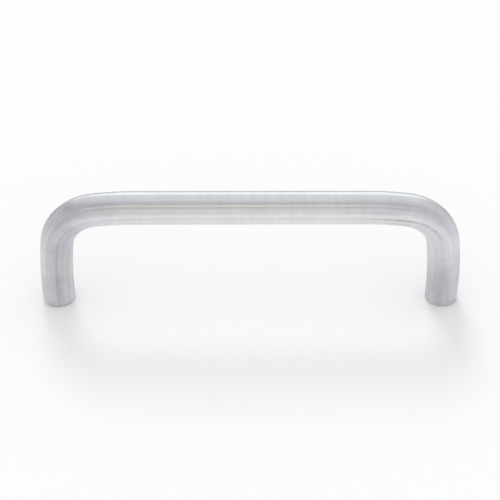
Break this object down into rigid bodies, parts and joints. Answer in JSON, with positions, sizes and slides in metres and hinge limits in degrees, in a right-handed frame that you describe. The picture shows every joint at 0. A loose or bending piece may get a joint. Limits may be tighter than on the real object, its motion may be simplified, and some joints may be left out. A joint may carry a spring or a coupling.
{
  "type": "wire pull",
  "caption": "Drawer and cabinet pull bent from a round satin aluminium rod into a wide U with eased corners, with a tapped screw hole in the end of each leg.",
  "frame": {"origin": "midway between the two screw holes, on the plane of the feet that lies on the drawer front", "axes": "+X along the grip, +Y across the rod, +Z away from the drawer front towards the grip"},
  "size_m": [0.104, 0.008, 0.032],
  "materials": {
    "satin_aluminium": "satin, brushed around the rod"
  },
  "bodies": {
    "root": {"pull": "satin_aluminium"}
  },
  "joints": []
}
